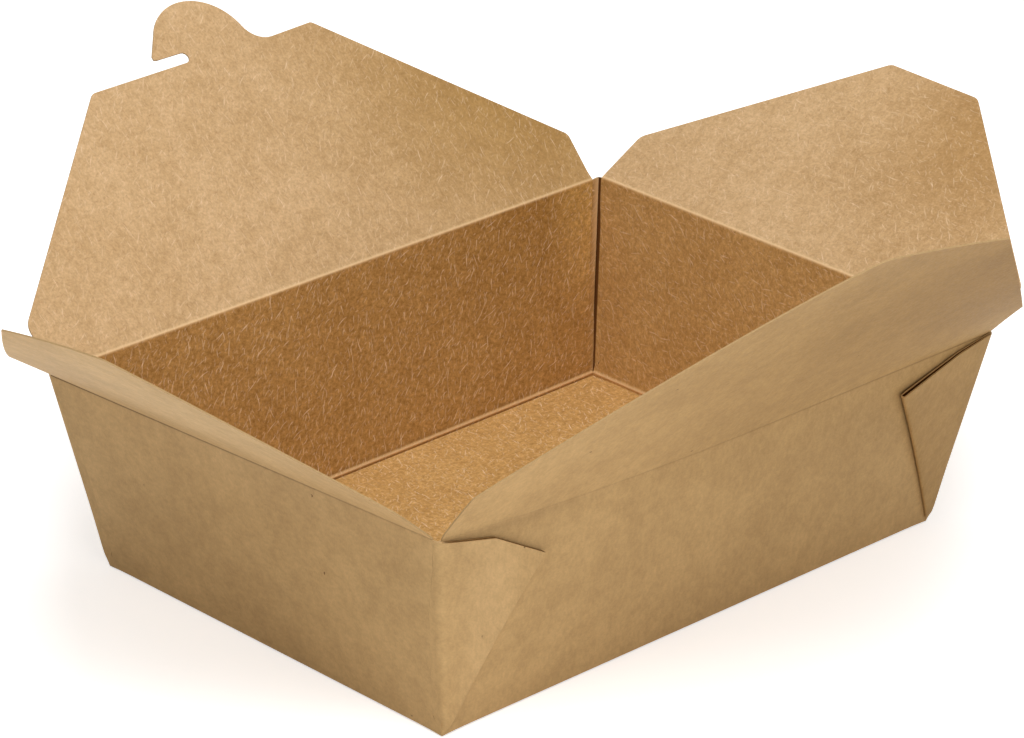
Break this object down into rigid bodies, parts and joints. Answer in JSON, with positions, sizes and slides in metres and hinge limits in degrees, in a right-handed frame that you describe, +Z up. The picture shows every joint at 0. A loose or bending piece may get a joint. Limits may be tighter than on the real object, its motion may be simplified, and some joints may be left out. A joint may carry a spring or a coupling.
{
  "type": "takeaway box",
  "caption": "Shallow folded board box with flared walls, folded corner gussets and four open lid flaps, one with a hook and one with a slot.",
  "frame": {"origin": "centre of the underside of the base, on the surface the box stands on", "axes": "+X along the long side, towards the end that was far right in the picture; +Y towards the long wall with the hook flap; +Z up"},
  "size_m": [0.3479, 0.302, 0.1393],
  "materials": {
    "board": "matte"
  },
  "bodies": {
    "tray": {"tray": "board"},
    "hook_flap": {"hook_flap": "board"},
    "slot_flap": {"slot_flap": "board"},
    "left_flap": {"left_flap": "board"},
    "right_flap": {"right_flap": "board"}
  },
  "joints": [
    {"name": "hook_flap_hinge", "type": "hinge", "parent": "tray", "child": "hook_flap", "pos_m": [-0.1103, 0.0802, 0.0612], "axis": [1, 0, 0], "range_deg": [-75.5, 138.5]},
    {"name": "slot_flap_hinge", "type": "hinge", "parent": "tray", "child": "slot_flap", "pos_m": [0.1103, -0.0802, 0.0612], "axis": [-0.9998, 0.0198, 0.0055], "range_deg": [-83.5, 132]},
    {"name": "left_flap_hinge", "type": "hinge", "parent": "tray", "child": "left_flap", "pos_m": [-0.1065, -0.0759, 0.0616], "axis": [-0.0243, 0.9997, -0.0077], "range_deg": [-74, 144]},
    {"name": "right_flap_hinge", "type": "hinge", "parent": "tray", "child": "right_flap", "pos_m": [0.1103, 0.0802, 0.0604], "axis": [0, -1, 0], "range_deg": [-64.5, 153.5]}
  ]
}
